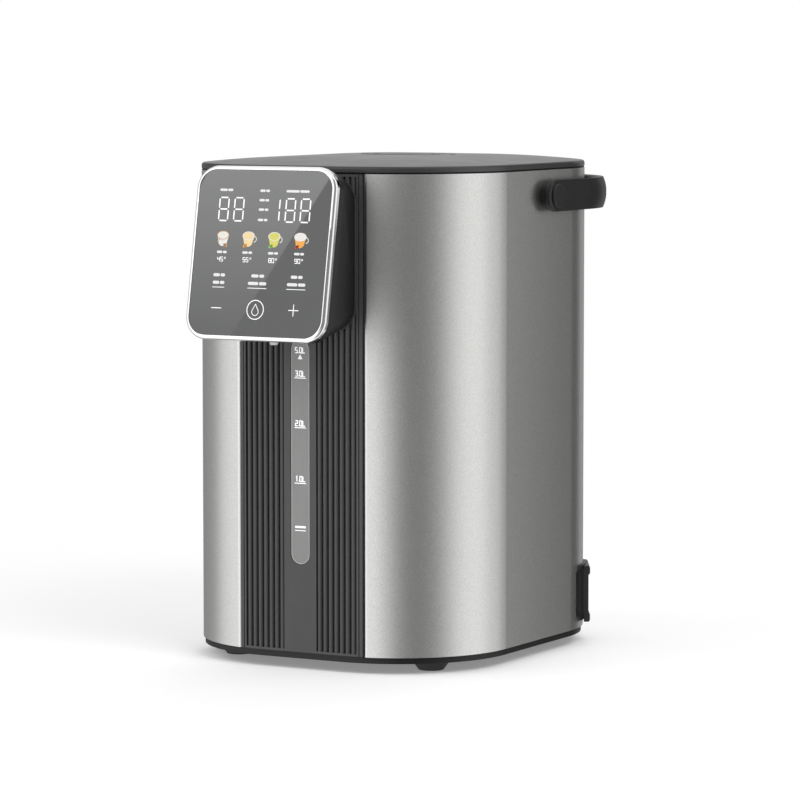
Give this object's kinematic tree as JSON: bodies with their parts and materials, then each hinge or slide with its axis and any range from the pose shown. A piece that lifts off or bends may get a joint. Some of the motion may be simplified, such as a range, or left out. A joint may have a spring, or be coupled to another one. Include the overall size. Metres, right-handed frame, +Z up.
{
  "type": "electric thermo pot",
  "caption": "Steel-bodied electric water boiler and warmer with a hinged lid, a tilted touch head over the spout, a ribbed front panel with a level gauge and a folding carry handle.",
  "frame": {"origin": "middle of the whole object's box, on the plane that the feet stand on", "axes": "+Z up, -Y towards the touch head and nozzle, +X to the right seen from the front"},
  "size_m": [0.2294, 0.314, 0.3171],
  "materials": {
    "steel_body": "vertical satin brushing, clear coated",
    "base_plastic": "fine moulded texture",
    "foot_rubber": "matt",
    "screw_steel": "zinc plated",
    "panel_plastic": "satin moulded, ribbed",
    "window_clear": "clear moulded",
    "tube_glass": "clear",
    "silicone": "translucent matt",
    "nozzle_plastic": "satin",
    "head_plastic": "satin moulded",
    "bezel_chrome": "polished plating",
    "display_glass": "gloss, back printed",
    "reflector_plastic": "matt white",
    "circuit_board": "solder mask",
    "spring_steel": "bright wire",
    "collar_plastic": "satin moulded",
    "lid_plastic": "satin gloss",
    "lid_inner_plastic": "matt",
    "plate_steel": "bright annealed",
    "valve_plastic": "matt",
    "lever_plastic": "satin gloss",
    "pin_steel": "ground",
    "stamped_steel": "galvanised",
    "handle_plastic": "satin moulded",
    "tank_steel": "deep drawn, satin",
    "insulation": "needled fibre",
    "mica_band": "dull",
    "cast_aluminium": "as cast",
    "element_sheath": "dark annealed",
    "bakelite": "matt",
    "sensor_brass": "satin",
    "fuse_ceramic": "unglazed",
    "pump_plastic": "natural moulding",
    "impeller_plastic": "matt",
    "motor_steel": "zinc plated",
    "rotor_copper": "lacquered wire",
    "socket_plastic": "fine moulded texture",
    "contact_brass": "plated"
  },
  "bodies": {
    "casing": {"outer_shell": "steel_body", "base_ring": "base_plastic", "base_cover": "base_plastic", "feet": "foot_rubber", "base_screws": "screw_steel", "front_panel": "panel_plastic", "gauge_window": "window_clear", "gauge_tube": "tube_glass", "riser_hose": "silicone", "outlet_hose": "silicone", "nozzle": "nozzle_plastic", "head_housing": "head_plastic", "head_bezel": "bezel_chrome", "display_glass": "display_glass", "display_reflector": "reflector_plastic", "display_board": "circuit_board", "touch_springs": "spring_steel", "neck_screws": "screw_steel", "top_collar": "collar_plastic", "rear_deck": "lid_plastic", "deck_screws": "screw_steel", "hinge_pin": "pin_steel", "handle_bosses": "head_plastic", "handle_pins": "pin_steel", "handle_nuts": "stamped_steel", "inner_tank": "tank_steel", "tank_seal": "silicone", "insulation_jacket": "insulation", "band_heater": "mica_band", "tank_cradle": "stamped_steel", "heater_plate": "cast_aluminium", "heater_element": "element_sheath", "thermostat": "bakelite", "temperature_sensor": "sensor_brass", "thermal_fuse": "fuse_ceramic", "drain_hose": "silicone", "pump_cover": "pump_plastic", "pump_body": "pump_plastic", "impeller_pin": "pin_steel", "motor_can": "motor_steel", "pump_mount": "foot_rubber", "power_board": "circuit_board", "inlet_flange": "base_plastic", "inlet_socket": "socket_plastic", "inlet_pins": "contact_brass"},
    "lid": {"lid_cover": "lid_plastic", "lid_inner": "lid_inner_plastic", "lid_plate": "plate_steel", "lid_gasket": "silicone", "lid_screws": "screw_steel", "steam_duct": "lid_inner_plastic", "lever_pin": "pin_steel", "lever_spring": "spring_steel"},
    "lid_lever": {"lid_lever": "lever_plastic"},
    "latch": {"latch_slide": "stamped_steel"},
    "valve": {"spill_valve": "valve_plastic"},
    "handle": {"handle": "handle_plastic", "handle_caps": "handle_plastic"},
    "rotor": {"motor_rotor": "rotor_copper"},
    "pump_wheel": {"impeller": "impeller_plastic"}
  },
  "joints": [
    {"name": "lid_hinge", "type": "hinge", "parent": "casing", "child": "lid", "pos_m": [0, 0.12441, 0.3122], "axis": [-1, 0, 0], "range_deg": [0, 85]},
    {"name": "lever_hinge", "type": "hinge", "parent": "lid", "child": "lid_lever", "pos_m": [0, 0.04961, 0.3149], "axis": [-1, 0, 0], "range_deg": [0, 30], "stiffness_Nm_per_rad": 0.03, "springref_deg": -17.19},
    {"name": "latch_travel", "type": "slide", "parent": "lid", "child": "latch", "axis": [0, -1, 0], "range_m": [0, 0.0065]},
    {"name": "spill_valve_lift", "type": "slide", "parent": "lid", "child": "valve", "axis": [0, 0, 1], "range_m": [0, 0.003]},
    {"name": "handle_hinge", "type": "hinge", "parent": "casing", "child": "handle", "pos_m": [0, 0.02841, 0.2925], "axis": [1, 0, 0], "range_deg": [0, 90]},
    {"name": "motor_spin", "type": "hinge", "parent": "casing", "child": "rotor", "pos_m": [-0.016, -0.04759, 0.03], "axis": [0, 0, 1], "continuous": true},
    {"name": "impeller_spin", "type": "hinge", "parent": "casing", "child": "pump_wheel", "pos_m": [-0.016, -0.04759, 0.048], "axis": [0, 0, 1], "continuous": true}
  ],
  "couplings": [
    {"joint": "lever_hinge", "follows": "latch_travel", "rad_per_m": 80.5},
    {"joint": "impeller_spin", "follows": "motor_spin", "ratio": 1}
  ]
}
